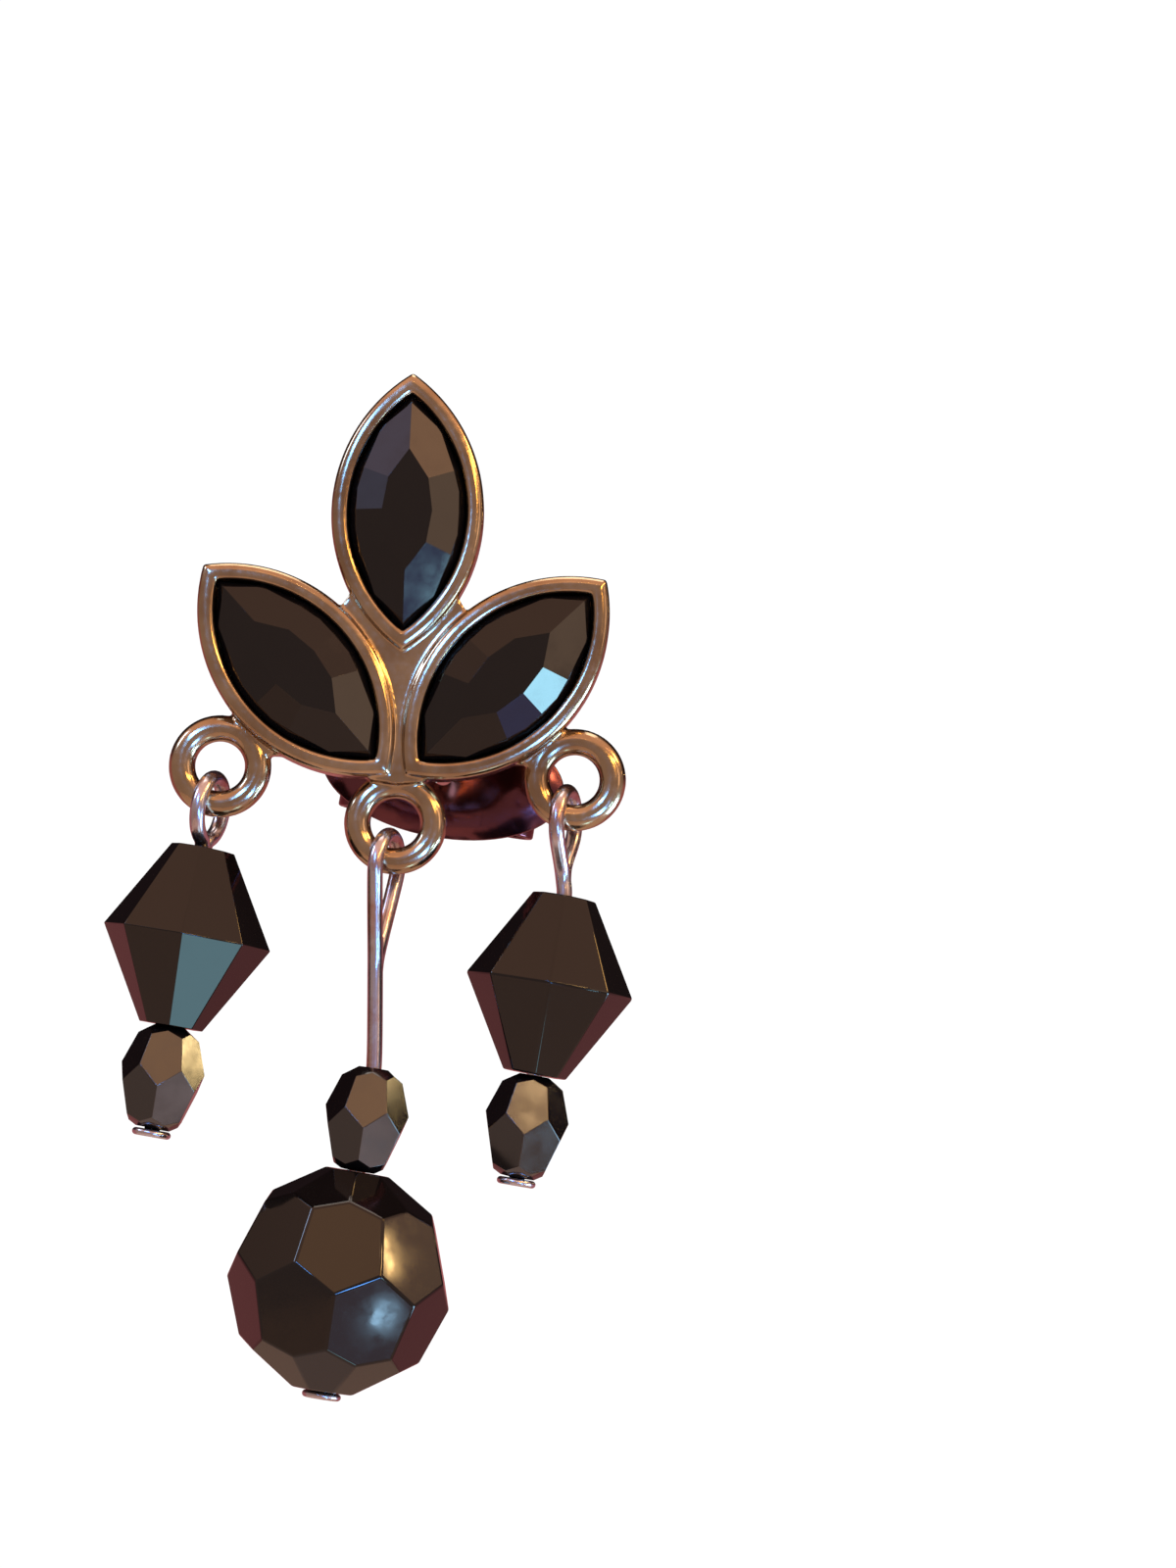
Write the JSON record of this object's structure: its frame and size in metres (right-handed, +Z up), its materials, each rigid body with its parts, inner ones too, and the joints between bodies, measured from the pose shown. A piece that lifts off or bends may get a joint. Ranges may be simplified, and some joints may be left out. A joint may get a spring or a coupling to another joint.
{
  "type": "chandelier earring",
  "caption": "Post earring: a cast bronze frame of marquise cups with dark faceted stones, and faceted bead drops that hang on eye pins from its cast rings, with a butterfly clutch behind.",
  "frame": {"origin": "root of the ear post on the frame's flat back", "axes": "+Z up as it hangs, +Y backwards along the ear post towards the ear, +X to the right seen from the front"},
  "size_m": [0.0259, 0.0161, 0.0499],
  "materials": {
    "cast_metal": "polished antique bronze plating on a zinc casting",
    "clutch_metal": "bright bronze plating on sheet steel",
    "pin_metal": "gunmetal plated wire with coppery edges",
    "marquise_stone": "polished jet black acrylic",
    "black_bead": "polished jet black acrylic",
    "small_bead": "polished black acrylic with a faint metallic coat"
  },
  "bodies": {
    "frame": {"setting_frame": "cast_metal", "stone_left": "marquise_stone", "stone_top": "marquise_stone", "stone_right": "marquise_stone", "ear_clutch": "clutch_metal"},
    "left_drop": {"left_pin": "pin_metal", "left_bicone_bead": "black_bead", "left_small_bead": "small_bead"},
    "centre_drop": {"centre_pin": "pin_metal", "centre_small_bead": "small_bead", "centre_round_bead": "black_bead"},
    "right_drop": {"right_pin": "pin_metal", "right_bicone_bead": "black_bead", "right_small_bead": "small_bead"}
  },
  "joints": [
    {"name": "left_swing", "type": "hinge", "parent": "frame", "child": "left_drop", "pos_m": [-0.01084, -0.00085, -0.00319], "axis": [1, 0, 0], "range_deg": [-90, 90]},
    {"name": "centre_swing", "type": "hinge", "parent": "frame", "child": "centre_drop", "pos_m": [-0.00201, -0.00085, -0.00491], "axis": [1, 0, 0], "range_deg": [-90, 90]},
    {"name": "right_swing", "type": "hinge", "parent": "frame", "child": "right_drop", "pos_m": [0.00634, -0.00085, -0.00175], "axis": [1, 0, 0], "range_deg": [-90, 60]}
  ]
}
